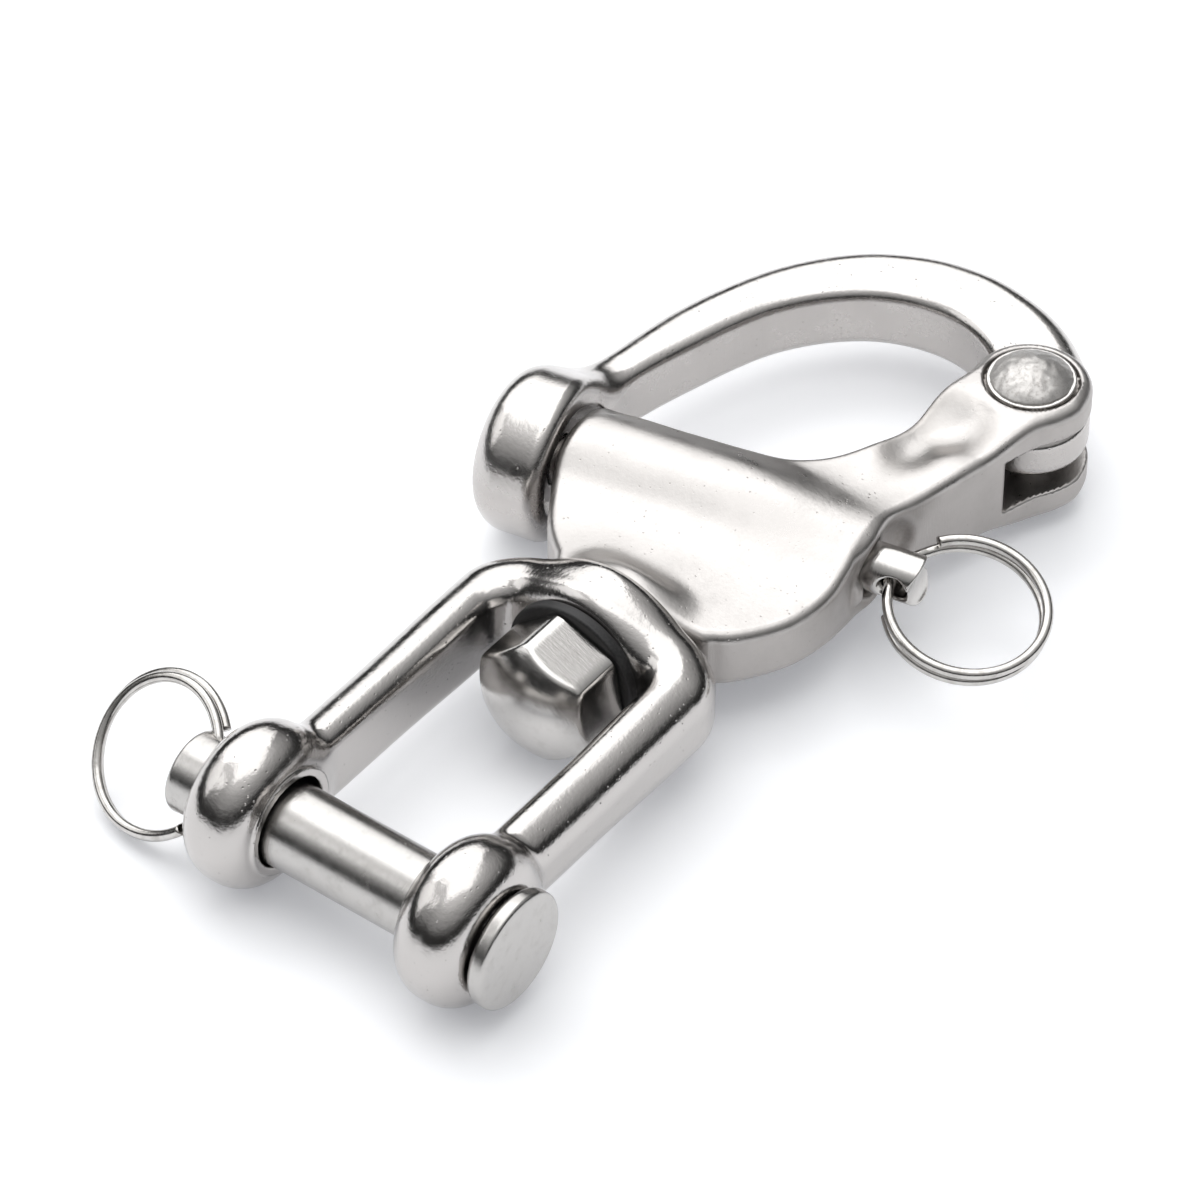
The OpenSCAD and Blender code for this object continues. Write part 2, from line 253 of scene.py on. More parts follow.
def add_mesh(name, points, faces, body, replaced, slot, material, normals=None, hollow=None):
    """Smooth object from points in millimetres, riding its body in place of a CAD node."""
    mesh = bpy.data.meshes.new(name)
    mesh.from_pydata((np.asarray(points) * MM).tolist(), [], [list(face) for face in faces])
    mesh.polygons.foreach_set("use_smooth", [True] * len(mesh.polygons))
    if hollow is not None:
        attribute = mesh.attributes.new("hollow", "FLOAT", "POINT")
        attribute.data.foreach_set("value", hollow.astype(np.float32))
    if normals is not None:
        mesh.normals_split_custom_set_from_vertices(normals.tolist())
    mesh.update()
    obj = bpy.data.objects.new(name, mesh)
    bpy.context.scene.collection.objects.link(obj)
    mesh.materials.append(material)
    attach(obj, body)
    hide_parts(replaced)
    return obj


# ---------------------------------------------------------------- castings
WEB = spline([(47.0, -8.6), (48.4, -12.4), (51.4, -15.2), (56.0, -17.7), (61.2, -18.6), (66.0, -18.1),
              (71.0, -17.2), (76.0, -17.2), (81.1, -18.7), (86.0, -20.2), (91.0, -21.5), (96.0, -23.0),
              (99.6, -24.4), (102.6, -24.9), (105.6, -22.0), (104.0, -14.0), (100.0, -11.2),
              (95.0, -10.2), (90.0, -9.8), (85.6, -8.7), (82.0, -6.9), (78.9, -4.4), (76.2, -0.8),
              (74.3, 3.6), (72.4, 9.5), (69.6, 17.5), (62.0, 19.6), (53.5, 15.6), (49.2, 11.4),
              (47.0, 7.6)])
TAPER, TAPER_START = 2.4, -24  # the barrel is thinner by this at its mouth
NOSE_R, NOSE_REACH = 5.2, 0.9
WEB_HALF, SPUR_HALF = 3.0, 5.0
RIDGE_JAW_SIDE, RIDGE_FORK_SIDE = 9.0, 5.2
SEAT_R, SEAT_HALF = 6.6, 1.3
HOLLOWS = ((87.2, -12.4, 3.6, 2.6), (91.6, -14.4, 3.0, 3.2))  # x, y and half widths
HOLLOW_DEEP = 2.1
SLOT_BACK_X = 91.9
SPOT_R, SPOT_DEEP = 5.7, 0.42
RECESS = (6.4, 2.3, 4.5)  # half widths of the dished recess across, along and up
BORE_R = 3.12
MOUTH_R, MOUTH_DEEP = 3.7, 5
CHAMBER_R, CHAMBER_ALONG, CHAMBER_HALF = 4.8, -25, 12


def body_field(x, y, z):
    across, along = plunger_frame(x, y)
    radial = length(across, z)
    rho = length(x - PIVOT[0], y - PIVOT[1])
    # barrel of the plunger, tapered into the web towards its mouth, with a low nose at the eye
    middle = (BARREL_NOSE + BARREL_END) / 2
    ends = np.abs(along - middle) - BARREL_NOSE + middle
    taper = TAPER * step(along, TAPER_START, BARREL_END)
    barrel = round_max(radial - BARREL_R + taper, ends, 1.9)
    nose = radial - NOSE_R + (along - BARREL_NOSE)
    nose = round_max(nose, along - BARREL_NOSE - NOSE_REACH, 0.4)
    barrel = np.minimum(barrel, np.maximum(nose, BARREL_NOSE - NOSE_REACH - along))
    # the web is thin at the jaw end and thickens in three steps along the arm to the fork
    web = WEB_HALF + 1.4 * step(x, 62, 74) + 1.1 * step(x, 76, 88)
    web = web + (BODY_HALF - 6.0) * step(x, 88.5, 96.5)
    # over it run the barrel's ridge, broad on the jaw side and steep on the fork side, and a low
    # spur from the jaw's seat
    width = np.where(across < 0, RIDGE_JAW_SIDE, RIDGE_FORK_SIDE)
    ridge = (BARREL_R - web - 0.8 * taper) * np.exp(-(across / width) ** 2)
    spur = (SPUR_HALF - web) * np.exp(-(y / 12.0) ** 2) * step(x, 76, 42)
    half = web + blend_max(np.maximum(ridge, 0), spur, 2.5)
    plate = round_max(outline(x, y, WEB), (np.abs(z) - half) * 0.85, 1.2)
    seat = disc(length(y, z), x - BODY_X - SEAT_HALF, SEAT_R, SEAT_HALF, 1.1)
    fork = disc(rho, z, FORK_R, BODY_HALF, 1.3)
    d = blend_min(barrel, plate, 1.6)
    d = blend_min(d, seat, 4.0)
    d = blend_min(d, fork, 1.0)
    # two shallow hollows of the casting on the arm, on both faces
    for cx, cy, ca, cb in HOLLOWS:
        dent = ellipsoid(x - cx, y - cy, np.abs(z) - web - 1.7, ca, cb, HOLLOW_DEEP)
        d = blend_max(d, -dent, 2.4)
    # slot for the bow: open to the front and to the outer side
    slot_plan = np.minimum(rho - FORK_R - 0.45, np.maximum(SLOT_BACK_X - x, y - PIVOT[1]))
    slot_plan = np.minimum(slot_plan, PIVOT[0] - x)
    d = blend_max(d, -np.maximum(np.abs(z) - SLOT_HALF, slot_plan), 0.3)
    # spot faces under the rivet washers
    d = blend_max(d, -np.maximum(rho - SPOT_R, BODY_HALF - SPOT_DEEP - np.abs(z)), 0.25)
    # dished recess round the plunger's mouth
    recess = ellipsoid(across - 0.4, along - BARREL_END - 0.2, z, *RECESS)
    d = blend_max(d, -recess, 1.0)
    # bore right through, wider at the mouth and for the spring
    hole = np.minimum(radial - BORE_R, np.maximum(radial - MOUTH_R, along - BARREL_END - MOUTH_DEEP))
    chamber = np.maximum(radial - CHAMBER_R, np.abs(along - CHAMBER_ALONG) - CHAMBER_HALF)
    hole = np.minimum(hole, chamber)
    d = blend_max(d, -hole, 0.4)
    # small flash mark of the mould on the side wall, longer along Z
    flash = length(x - 67.4, (z + 0.2) * 0.45, (y + 18.1)) - 0.75
    return blend_min(d, flash, 0.5)


BOW_OUTER = spline([(66.0, 30.8), (70.0, 30.2), (74.5, 28.9), (79.8, 27.7), (85.3, 27.0), (90.4, 26.2),
                    (95.5, 24.9), (100.4, 23.2), (104.8, 21.2), (108.6, 18.8), (112.0, 16.0),
                    (114.8, 12.9), (117.0, 9.3), (118.6, 5.6), (119.5, 1.6), (119.8, -2.2),
                    (119.3, -6.4), (118.2, -10.6), (116.4, -14.4), (113.9, -17.9), (111.0, -20.7),
                    (106.0, -21.5), (101.0, -14.0), (97.0, -4.0), (90.0, 6.0), (78.0, 14.0),
                    (66.0, 22.5)])
BOW_INNER = spline([(64.0, 22.9), (69.0, 23.0), (73.6, 22.5), (78.2, 21.7), (82.9, 20.7), (88.0, 19.3),
                    (93.0, 17.8), (97.6, 16.0), (101.5, 13.6), (104.7, 10.8), (107.3, 7.5),
                    (109.0, 3.6), (109.7, -0.7), (109.2, -4.6), (107.6, -8.1), (105.2, -10.6),
                    (102.0, -12.4), (94.0, -14.0), (80.0, -8.0), (66.0, 4.0), (56.0, 16.0),
                    (59.0, 21.5)])
BOW_THIN = 0.9  # the rod's half thickness is less by this at the eye
BOW_END_X = 64.5
DISH_R, DISH_DEEP, DISH_SLOPE = 7.0, 1.6, 1.19
EYE_HOLE_R = 3.08


def bow_field(x, y, z):
    across, along = plunger_frame(x, y)
    radial = length(across, z)
    rho = length(x - PIVOT[0], y - PIVOT[1])
    thick = np.abs(z) - BOW_HALF + BOW_THIN * step(x, 80, 70)
    inner = -outline(x, y, BOW_INNER)
    d = round_max(outline(x, y, BOW_OUTER), thick, 3.3)
    d = round_max(d, inner, 0.6)
    d = np.maximum(d, round_max(inner, thick, 1.7))
    keep = (y - 21.2) * 0.6 + (BOW_END_X - x)  # the rod stops inside the eye
    d = np.maximum(d, keep)
    # drum of the latch eye: well rounded on the free side, a narrow lip on the barrel's side
    drum = radial - EYE_R - 0.2
    free_side = round_max(drum, along - EYE_HALF - 0.5, 3.7)
    eye = np.maximum(free_side, round_max(drum, -along - EYE_HALF, 1.7))
    d = blend_min(d, eye, 5.5)
    # the shoulder ends at the sweep of the fork's cheeks, and the knuckle goes on into the slot
    d = np.maximum(d, -np.maximum(rho - FORK_R - 0.35, KNUCKLE_HALF - np.abs(z)))
    knuckle = round_max(disc(rho, z - 0.7, FORK_R - 0.1, KNUCKLE_HALF - 0.7, 1.0), -z - 2.2, 2.1)
    d = np.minimum(d, knuckle)
    d = np.maximum(d, RIVET_R + 0.05 - rho)
    # dished recess of the eye on the barrel's side, and the plunger's hole
    cone = radial - DISH_R + np.maximum(along + EYE_HALF, -0.4) * DISH_SLOPE
    d = blend_max(d, -np.maximum(cone, along + EYE_HALF - DISH_DEEP), 0.4)
    return blend_max(d, -(radial - EYE_HOLE_R), 0.3)


JAW_HALF_Y, CORNER_R = 17.3, 7.4  # outside of the legs and base
INSIDE_HALF_Y, INSIDE_CORNER_R = 10.95, 3.2
LEG_HALF = 5.4
BOSS_R, BOLT_HOLE_R = 10.0, 4.28
EAR_HOLE_R = 5.45
LIP_R, LIP_WIRE_R = 6.05, 0.42


def rounded_corner(x, y, radius):
    """Distance to a square corner, at the origin and filling -X and -Y, rounded by radius."""
    x, y = x + radius, y + radius
    return length(np.maximum(x, 0), np.maximum(y, 0)) + np.minimum(np.maximum(x, y), 0) - radius


def jaw_field(x, y, z):
    y = np.abs(y)
    rho = length(x, z)
    ear = disc(rho, y - EAR_Y, EAR_R, EAR_HALF, 4.25)
    # U of the legs and base, seen from above
    outer = rounded_corner(x - (BASE_X1 - 0.1), y - JAW_HALF_Y, CORNER_R)
    inner = rounded_corner(x - BASE_X0, y - INSIDE_HALF_Y, INSIDE_CORNER_R)
    half = LEG_HALF + 0.5 * step(x, 20, 36) + 2.6 * step(x, 36, 44) * step(y, 15, 4)
    u = np.maximum(round_max(outer, np.abs(z) - half, 4.3), round_max(-inner, np.abs(z) - half, 2.5))
    u = np.maximum(u, 1.0 - x)  # the legs stop inside the ears
    boss = disc(length(y, z), x - (BASE_X0 + BASE_X1) / 2, BOSS_R, (BASE_X1 - BASE_X0) / 2, 2.3)
    d = blend_min(u, boss, 2.2)
    d = blend_min(d, ear, 1.3)
    # flat inside faces of the ears with a thin raised lip round the hole
    lip = length(rho - LIP_R, y - EAR_INNER) - LIP_WIRE_R
    d = blend_min(d, lip, 0.5)
    d = np.maximum(d, EAR_INNER - 0.16 - y - 30 * step(x, 7.5, 12))
    d = blend_max(d, EAR_HOLE_R - rho, 0.35)
    bolt_hole = np.maximum(length(y, z) - BOLT_HOLE_R, 30 - x)
    return blend_max(d, -bolt_hole, 0.3)


# ---------------------------------------------------------------- turned parts
PIN_LOW, PIN_HIGH = node_box("clevis_pin")
PIN_Z = (PIN_LOW[2] + PIN_HIGH[2]) / 2
PIN_R, PIN_HEAD_R, PIN_HEAD_T = 5.0, (PIN_HIGH[2] - PIN_LOW[2]) / 2, 2.5
PIN_CROWN_R = 60
PIN_HOLE_R, PIN_HOLE_Y = 1.6, PIN_HIGH[1] - 2.55
PIN_HOLE_TURN = math.radians(43.4)


def pin_field(x, y, z):
    z = z - PIN_Z
    rho = length(x, z)
    middle, half = (PIN_LOW[1] + PIN_HIGH[1]) / 2, (PIN_HIGH[1] - PIN_LOW[1]) / 2
    shank = disc(rho, y - middle - 0.5, PIN_R, half - 0.5, 0.55)
    head = disc(rho, y - PIN_LOW[1] - PIN_HEAD_T / 2, PIN_HEAD_R, PIN_HEAD_T / 2, 0.8)
    d = blend_min(shank, head, 0.3)
    # face of the head, crowned a little
    crown = length(rho, y - PIN_LOW[1] - PIN_CROWN_R) - PIN_CROWN_R
    d = round_max(d, crown, 0.5)
    across = x * math.cos(PIN_HOLE_TURN) - z * math.sin(PIN_HOLE_TURN)
    hole = length(across, y - PIN_HOLE_Y) - PIN_HOLE_R
    return blend_max(d, -hole, 0.45)


BOLT_LOW = node_box("swivel_bolt")[0]
HEX_R, HEX_DOME, HEX_TURN = 8.4, 3.6, math.radians(20.5)
HEAD_BACK = node_box("swivel_washer")[0][0] - 0.05


def bolt_field(x, y, z):
    rho = length(y, z)
    angle = np.arctan2(z, y) - HEX_TURN
    flat = np.abs((angle + math.pi / 6) % (math.pi / 3) - math.pi / 6)
    # distance to the nearest flat, softened at the corners
    side = rho * np.cos(math.pi / 6 - flat) - HEX_R * math.cos(math.pi / 6)
    side = blend_max(side, rho - HEX_R * 0.97, 0.35)
    ball_r = (HEX_R**2 + HEX_DOME**2) / (2 * HEX_DOME)
    ball = length(x - BOLT_LOW[0] - ball_r, y, z) - ball_r
    head = round_max(side, x - HEAD_BACK, 0.3)
    head = blend_max(head, ball, 0.4)
    shank = np.maximum(rho - BOLT_R, np.maximum(x - BODY_X - 1, 32 - x))
    return np.minimum(head, shank)


TIP, LUG, LUG_HOLE = 0.4, -49.6, -46.6  # places along the plunger
LUG_TURN = math.radians(-8.4)
COLLAR_R, COLLAR_ALONG, COLLAR_HALF = 4.6, -14.7, 1.2


def plunger_field(x, y, z):
    across, along = plunger_frame(x, y)
    rho = length(across, z)
    d = disc(rho, along - (TIP + LUG) / 2, PLUNGER_R, (TIP - LUG) / 2, 0.5)
    collar = disc(rho, along - COLLAR_ALONG, COLLAR_R, COLLAR_HALF, 0.3)
    d = np.minimum(d, collar)
    side = across * math.sin(LUG_TURN) + z * math.cos(LUG_TURN)
    # cross hole with worn, flared mouths, and a dished end
    flare = 1.5 + 0.5 * step(np.abs(across), 1.6, 3.0)
    d = blend_max(d, -(length(side, along - LUG_HOLE) - flare), 0.3)
    dish = length(side * 0.8, along - LUG + 1.9) - 3.0
    return blend_max(d, -dish, 0.3)


RIVET_HEAD_R, RIVET_HEAD_H, RIVET_SEAT = 5.05, 2.2, BODY_HALF + 0.25
HAMMERED = 0.045  # height of the facets


def rivet_field(x, y, z):
    dx, dy, top = x - PIVOT[0], y - PIVOT[1], np.abs(z) - RIVET_SEAT
    rho = length(dx, dy)
    ball_r = (RIVET_HEAD_R**2 + RIVET_HEAD_H**2) / (2 * RIVET_HEAD_H)
    dome = length(rho, top - RIVET_HEAD_H + ball_r) - ball_r
    # facets of the hammered head
    wave = np.sin(dx * 2.1 + 1.3 * np.sin(dy * 1.7)) * np.sin(dy * 2.4 + 1.1 * np.sin(dx * 1.9))
    head = round_max(dome + HAMMERED * wave, -top - 0.25 + 0.05 * rho, 0.28)
    shank = np.maximum(rho - RIVET_R, np.abs(z) - BODY_HALF - 0.6)
    return np.minimum(head, shank)


RIVET_WASHER_R = 5.3


def rivet_washer_field(low, high):
    """Field of the washer between the heights low and high."""
    middle, half = (low + high) / 2, (high - low) / 2

    def field(x, y, z):
        rho = length(x - PIVOT[0], y - PIVOT[1])
        return blend_max(disc(rho, z - middle, RIVET_WASHER_R, half, 0.18), -(rho - RIVET_R), 0.12)

    return field


def black_washer_field(x, y, z):
    low, high = node_box("swivel_washer")
    rho = length(y, z)
    middle, half = (low[0] + high[0]) / 2, (high[0] - low[0]) / 2
    return blend_max(disc(rho, x - middle, high[2], half, 0.35), -(rho - BOLT_R - 0.1), 0.15)


# ---------------------------------------------------------------- wire parts
def tube(path, radius, sides=20):
    """Round wire along a path, with softly broken flat ends."""
    path = np.asarray(path, float)
    tangent = np.gradient(path, axis=0)
    tangent /= np.linalg.norm(tangent, axis=1)[:, None]
    side = np.cross(tangent[0], (0.3, 0.5, 0.8))
    rings = []
    angles = np.linspace(0, 2 * math.pi, sides, endpoint=False)
    # two more rings at each end, a little narrower, break the end's edge
    profile = np.ones(len(path))
    path = np.vstack([path[:1], path[:1], path, path[-1:], path[-1:]])
    path[1] += tangent[0] * 0.02
    path[0] -= tangent[0] * 0.05
    path[-1] += tangent[-1] * 0.05
    tangent = np.vstack([tangent[:1], tangent[:1], tangent, tangent[-1:], tangent[-1:]])
    profile = np.concatenate([[0.72, 0.97], profile, [0.97, 0.72]])
    for point, t, scale in zip(path, tangent, profile):
        side = side - t * (side @ t)
        side /= np.linalg.norm(side)
        around = np.outer(np.cos(angles), side) + np.outer(np.sin(angles), np.cross(t, side))
        rings.append(point + radius * scale * around)
    points = np.vstack(rings)
    n = sides
    faces = [[i * n + j, i * n + (j + 1) % n, (i + 1) * n + (j + 1) % n, (i + 1) * n + j]
             for i in range(len(rings) - 1) for j in range(n)]
    start, end = len(points), len(points) + 1
    points = np.vstack([points, path[:1], path[-1:]])
    last = (len(rings) - 1) * n
    faces += [[start, (j + 1) % n, j] for j in range(n)]
    faces += [[end, last + j, last + (j + 1) % n] for j in range(n)]
    return points, faces


WIRE_R, RING_R = 0.65, 9.2
RING_DEGREES = 322  # of wire on each side of the hole
CROSSING_DEGREES = 30  # in which the wire moves from one turn to the other
LIFT_DEGREES = 54
SLACK_START, SLACK_DEGREES = 25, 300


def split_ring(at, run, out, sprung, spread):
    """Two turns of wire: one run through the hole, two runs side by side on the rest of the ring.

    spread sets the turns apart, and sprung lifts the last end of the wire.
    """
    t = np.array(run) / np.linalg.norm(run)
    d = np.array(out) - t * (np.array(out) @ t)
    d /= np.linalg.norm(d)
    n = np.cross(t, d)
    centre = np.array(at) + RING_R * d
    degrees = np.arange(-RING_DEGREES, RING_DEGREES + 0.1, 2.0)
    rise = np.clip(degrees / CROSSING_DEGREES, -1, 1) * (WIRE_R + 0.1)
    slack = np.radians(np.clip(degrees - SLACK_START, 0, SLACK_DEGREES))
    slack = np.sin(slack * (180 / SLACK_DEGREES)) ** 2 * spread
    angle = np.radians(degrees)
    lift = np.clip((np.abs(degrees) - RING_DEGREES + LIFT_DEGREES) / LIFT_DEGREES, 0, 1)
    lift = sprung * lift ** 2 * (degrees > 0)
    radius = RING_R + lift - slack
    ring = (centre + np.outer(-radius * np.cos(angle), d) + np.outer(radius * np.sin(angle), t)
            + np.outer(rise + 0.25 * lift, n))
    return tube(ring, WIRE_R)


# where each ring passes its hole, which way the hole runs, and which way the ring hangs out
CLEVIS_RING = dict(at=(-0.07, 20.62, -0.36), run=(0.686, 0.06, 0.725), out=(0.083, 0.984, -0.16),
                   sprung=0.9, spread=1.2)
PULL_RING = dict(at=(72.64, -20.13, 0.39), run=(0.986, 0.08, 0.145), out=(0.107, -0.977, -0.185),
                 sprung=0.0, spread=0.2)
SPRING_LOW, SPRING_HIGH = -36.5, -16.4  # along the plunger, from the barrel's shoulder to the collar
SPRING_R, SPRING_WIRE_R, SPRING_TURNS = 4.0, 0.42, 8


def spring_path():
    """Helix round the plunger between the barrel's shoulder and the collar, with closed ends."""
    share = np.linspace(0, 1, SPRING_TURNS * 24)
    rise = np.interp(share, (0, 0.1, 0.9, 1), (0, 0.04, 0.96, 1))
    along = SPRING_LOW + (SPRING_HIGH - SPRING_LOW) * rise
    angle = share * SPRING_TURNS * 2 * math.pi
    across, z = SPRING_R * np.cos(angle), SPRING_R * np.sin(angle)
    x = EYE[0] - across * OUT_Y - along * OUT_X
    y = EYE[1] + across * OUT_X - along * OUT_Y
    return np.stack([x, y, z], 1)


# ---------------------------------------------------------------- materials
class Shader:
    """Short names for building one Principled material with object-space noise, in millimetres."""

    def __init__(self, name):
        self.material = bpy.data.materials.new(name)
        self.material.use_nodes = True
        self.tree = self.material.node_tree
        self.main = self.tree.nodes["Principled BSDF"]
        self.coordinates = self.add("ShaderNodeTexCoord")
        mapping = self.add("ShaderNodeMapping")
        mapping.inputs["Scale"].default_value = (1 / MM,) * 3
        self.link(self.coordinates.outputs["Object"], mapping.inputs["Vector"])
        self.millimetres = mapping.outputs["Vector"]

    def add(self, kind):
        return self.tree.nodes.new(kind)

    def link(self, a, b):
        self.tree.links.new(a, b)

    def put(self, value, socket):
        """Set a socket to a constant, or link it to another node's output."""
        if isinstance(value, (int, float, tuple)):
            socket.default_value = value
        else:
            self.link(value, socket)

    def stretch(self, scale, turn=(0, 0, 0)):
        node = self.add("ShaderNodeMapping")
        node.inputs["Scale"].default_value = scale
        node.inputs["Rotation"].default_value = turn
        self.link(self.millimetres, node.inputs["Vector"])
        return node.outputs["Vector"]

    def noise(self, scale, detail=3.0, rough=0.5, vector=None):
        node = self.add("ShaderNodeTexNoise")
        node.inputs["Scale"].default_value = scale
        node.inputs["Detail"].default_value = detail
        node.inputs["Roughness"].default_value = rough
        self.link(vector or self.millimetres, node.inputs["Vector"])
        return node.outputs["Fac"]

    def cells(self, scale):
        node = self.add("ShaderNodeTexVoronoi")
        node.inputs["Scale"].default_value = scale
        self.link(self.millimetres, node.inputs["Vector"])
        return node.outputs["Distance"]

    def remap(self, value, a, b, c=0.0, d=1.0):
        node = self.add("ShaderNodeMapRange")
        for name, number in zip(("From Min", "From Max", "To Min", "To Max"), (a, b, c, d)):
            node.inputs[name].default_value = number
        self.link(value, node.inputs["Value"])
        return node.outputs["Result"]

    def math(self, operation, a, b=0.0):
        node = self.add("ShaderNodeMath")
        node.operation = operation
        self.put(a, node.inputs[0])
        self.put(b, node.inputs[1])
        return node.outputs["Value"]

    def mix(self, share, a, b):
        node = self.add("ShaderNodeMix")
        node.data_type = "RGBA"
        # the mix node has a set of sockets for each data type: 6, 7 and out of 2 are the colours
        self.put(share, node.inputs[0])
        self.put(a, node.inputs[6])
        self.put(b, node.inputs[7])
        return node.outputs[2]

    def attribute(self, name):
        node = self.add("ShaderNodeAttribute")
        node.attribute_name = name
        return node.outputs["Fac"]

    def bump(self, height, strength, distance_mm, under=None):
        node = self.add("ShaderNodeBump")
        node.inputs["Strength"].default_value = strength
        node.inputs["Distance"].default_value = distance_mm * MM
        self.link(height, node.inputs["Height"])
        if under is not None:
            self.link(under, node.inputs["Normal"])
        return node.outputs["Normal"]

    def finish(self, color, rough, normal, metallic=1.0):
        self.put(color, self.main.inputs["Base Color"])
        self.put(rough, self.main.inputs["Roughness"])
        self.put(metallic, self.main.inputs["Metallic"])
        self.link(normal, self.main.inputs["Normal"])
        return self.material


# base colours; the ones without an alpha are darkened by a material's shade
BRIGHT = (0.575, 0.555, 0.54)
# colour of the ground side walls, darkened further as painted shade on faces turned sideways
GROUND_AND_SHADE = (0.34, 0.315, 0.30, 1)
# dark of the real pits, and painted shade in the hollows of the castings
TARNISH_AND_SHADE = (0.20, 0.175, 0.155, 1)
TURNED, TURNED_DARK = (0.57, 0.556, 0.54), (0.30, 0.275, 0.255)
WIRE, WIRE_DARK = (0.58, 0.565, 0.545, 1), (0.34, 0.32, 0.30, 1)
BLACK, BLACK_WORN = (0.010, 0.010, 0.011, 1), (0.028, 0.027, 0.027, 1)
PAPER, PAPER_PALE, PAPER_GLOW = (0.93, 0.935, 0.945, 1), (0.945, 0.95, 0.96, 1), (0.90, 0.93, 1.0, 1)


def shaded(color, shade):
    return tuple(shade * level for level in color) + (1,)


def cast_steel(name, rough_low, rough_high, pits, walls, shade=1.0):
    """Tumbled and polished casting: satin skin, small dark pits, rough hollows with painted shade, ground
    side walls with painted shade.
    """
    s = Shader(name)
    broad = s.noise(0.22, 4)
    skin = s.noise(1.7, 5, 0.6)
    grain = s.noise(3.2, 3)
    hollow = s.remap(s.attribute("hollow"), 0.15, 0.75)
    patch = s.remap(s.noise(0.35, 5, 0.65), 0.42, 0.62)
    pit = s.math("MULTIPLY", s.remap(s.cells(1.15), 0.16, 0.05), patch)
    normal_z = s.add("ShaderNodeSeparateXYZ")
    s.link(s.coordinates.outputs["Normal"], normal_z.inputs[0])
    wall = s.remap(s.math("ABSOLUTE", normal_z.outputs["Z"]), 0.45, 0.1, 0.0, walls)
    scratch = s.noise(1.0, 2, 0.5, s.stretch((7.0, 7.0, 0.5), (0.0, 0.5, 0.3)))
    rough = s.remap(broad, 0.35, 0.65, rough_low, rough_high)
    rough = s.math("ADD", rough, s.math("MULTIPLY", hollow, 0.2))
    rough = s.math("ADD", rough, s.math("MULTIPLY", wall, 0.14))
    rough = s.math("ADD", rough, s.math("MULTIPLY", s.remap(skin, 0.4, 0.7), 0.05))
    # painted shade: colour darkened where the hollow mask finds a hollow, mottled by the skin; the real
    # dark pits join it
    hollow_shade_and_pits = s.math("MULTIPLY", hollow, s.remap(skin, 0.2, 0.75, 0.6, 1.0))
    hollow_shade_and_pits = s.math("MAXIMUM", hollow_shade_and_pits, s.math("MULTIPLY", pit, 0.55))
    color = s.mix(s.math("MULTIPLY", hollow_shade_and_pits, 0.85), shaded(BRIGHT, shade), TARNISH_AND_SHADE)
    # painted shade: faces turned sideways are darkened towards the ground colour, which is partly their
    # real ground finish
    color = s.mix(s.math("MULTIPLY", wall, 0.5), color, GROUND_AND_SHADE)
    normal = s.bump(skin, 0.11, 0.25)
    normal = s.bump(grain, 0.07, 0.12, normal)
    normal = s.bump(s.math("SUBTRACT", 1.0, s.math("MULTIPLY", pit, pits)), 0.6, 0.12, normal)
    normal = s.bump(s.math("MULTIPLY", scratch, wall), 0.22, 0.10, normal)
    return s.finish(color, rough, normal)


def turned_steel(name, scale, rough_low, rough_high, mottled=0.0, shade=1.0):
    """Turned bar with fine tool marks across it, or a hammered and mottled head."""
    s = Shader(name)
    lines = s.noise(1.0, 3, 0.6, s.stretch(scale))
    patch = s.noise(0.5, 5, 0.65)
    mottle = s.noise(2.6, 5, 0.7)
    rough = s.remap(patch, 0.35, 0.65, rough_low, rough_high)
    rough = s.math("ADD", rough, s.math("MULTIPLY", s.remap(mottle, 0.45, 0.62), 0.22 * mottled))
    dark = s.math("MULTIPLY", s.remap(mottle, 0.5, 0.68), 0.55 * mottled)
    dark = s.math("ADD", dark, s.math("MULTIPLY", s.remap(patch, 0.5, 0.75), 0.25))
    color = s.mix(dark, shaded(TURNED, shade), shaded(TURNED_DARK, shade))
    normal = s.bump(lines, 0.16, 0.08)
    normal = s.bump(mottle, 0.05 + 0.15 * mottled, 0.2, normal)
    return s.finish(color, rough, normal)


def drawn_wire(name):
    """Bright drawn wire with dull streaks."""
    s = Shader(name)
    streak = s.noise(0.9, 4, 0.6)
    fine = s.noise(5.0, 3)
    color = s.mix(s.remap(streak, 0.45, 0.7, 0.0, 0.5), WIRE, WIRE_DARK)
    return s.finish(color, s.remap(fine, 0.3, 0.7, 0.10, 0.24), s.bump(fine, 0.08, 0.05))


def painted_shade_black(name):
    """Dull black non-metal, a little worn: painted shade of the dark gap round the bolt head, put on the
    washer.
    """
    s = Shader(name)
    fine = s.noise(3.5, 4)
    color = s.mix(s.remap(fine, 0.4, 0.7), BLACK, BLACK_WORN)
    return s.finish(color, s.remap(fine, 0.3, 0.7, 0.42, 0.62), s.bump(fine, 0.15, 0.08), 0.0)


def floor_paper(name, glow):
    """Pale bluish paper that glows a little, so that it stays near white in the picture."""
    s = Shader(name)
    fibre = s.noise(0.6, 4)
    color = s.mix(s.remap(fibre, 0.3, 0.7), PAPER, PAPER_PALE)
    s.main.inputs["Specular IOR Level"].default_value = 0.2
    s.main.inputs["Emission Color"].default_value = PAPER_GLOW
    s.main.inputs["Emission Strength"].default_value = glow
    return s.finish(color, s.remap(fibre, 0.3, 0.7, 0.55, 0.65), s.bump(fibre, 0.02, 0.05), 0.0)


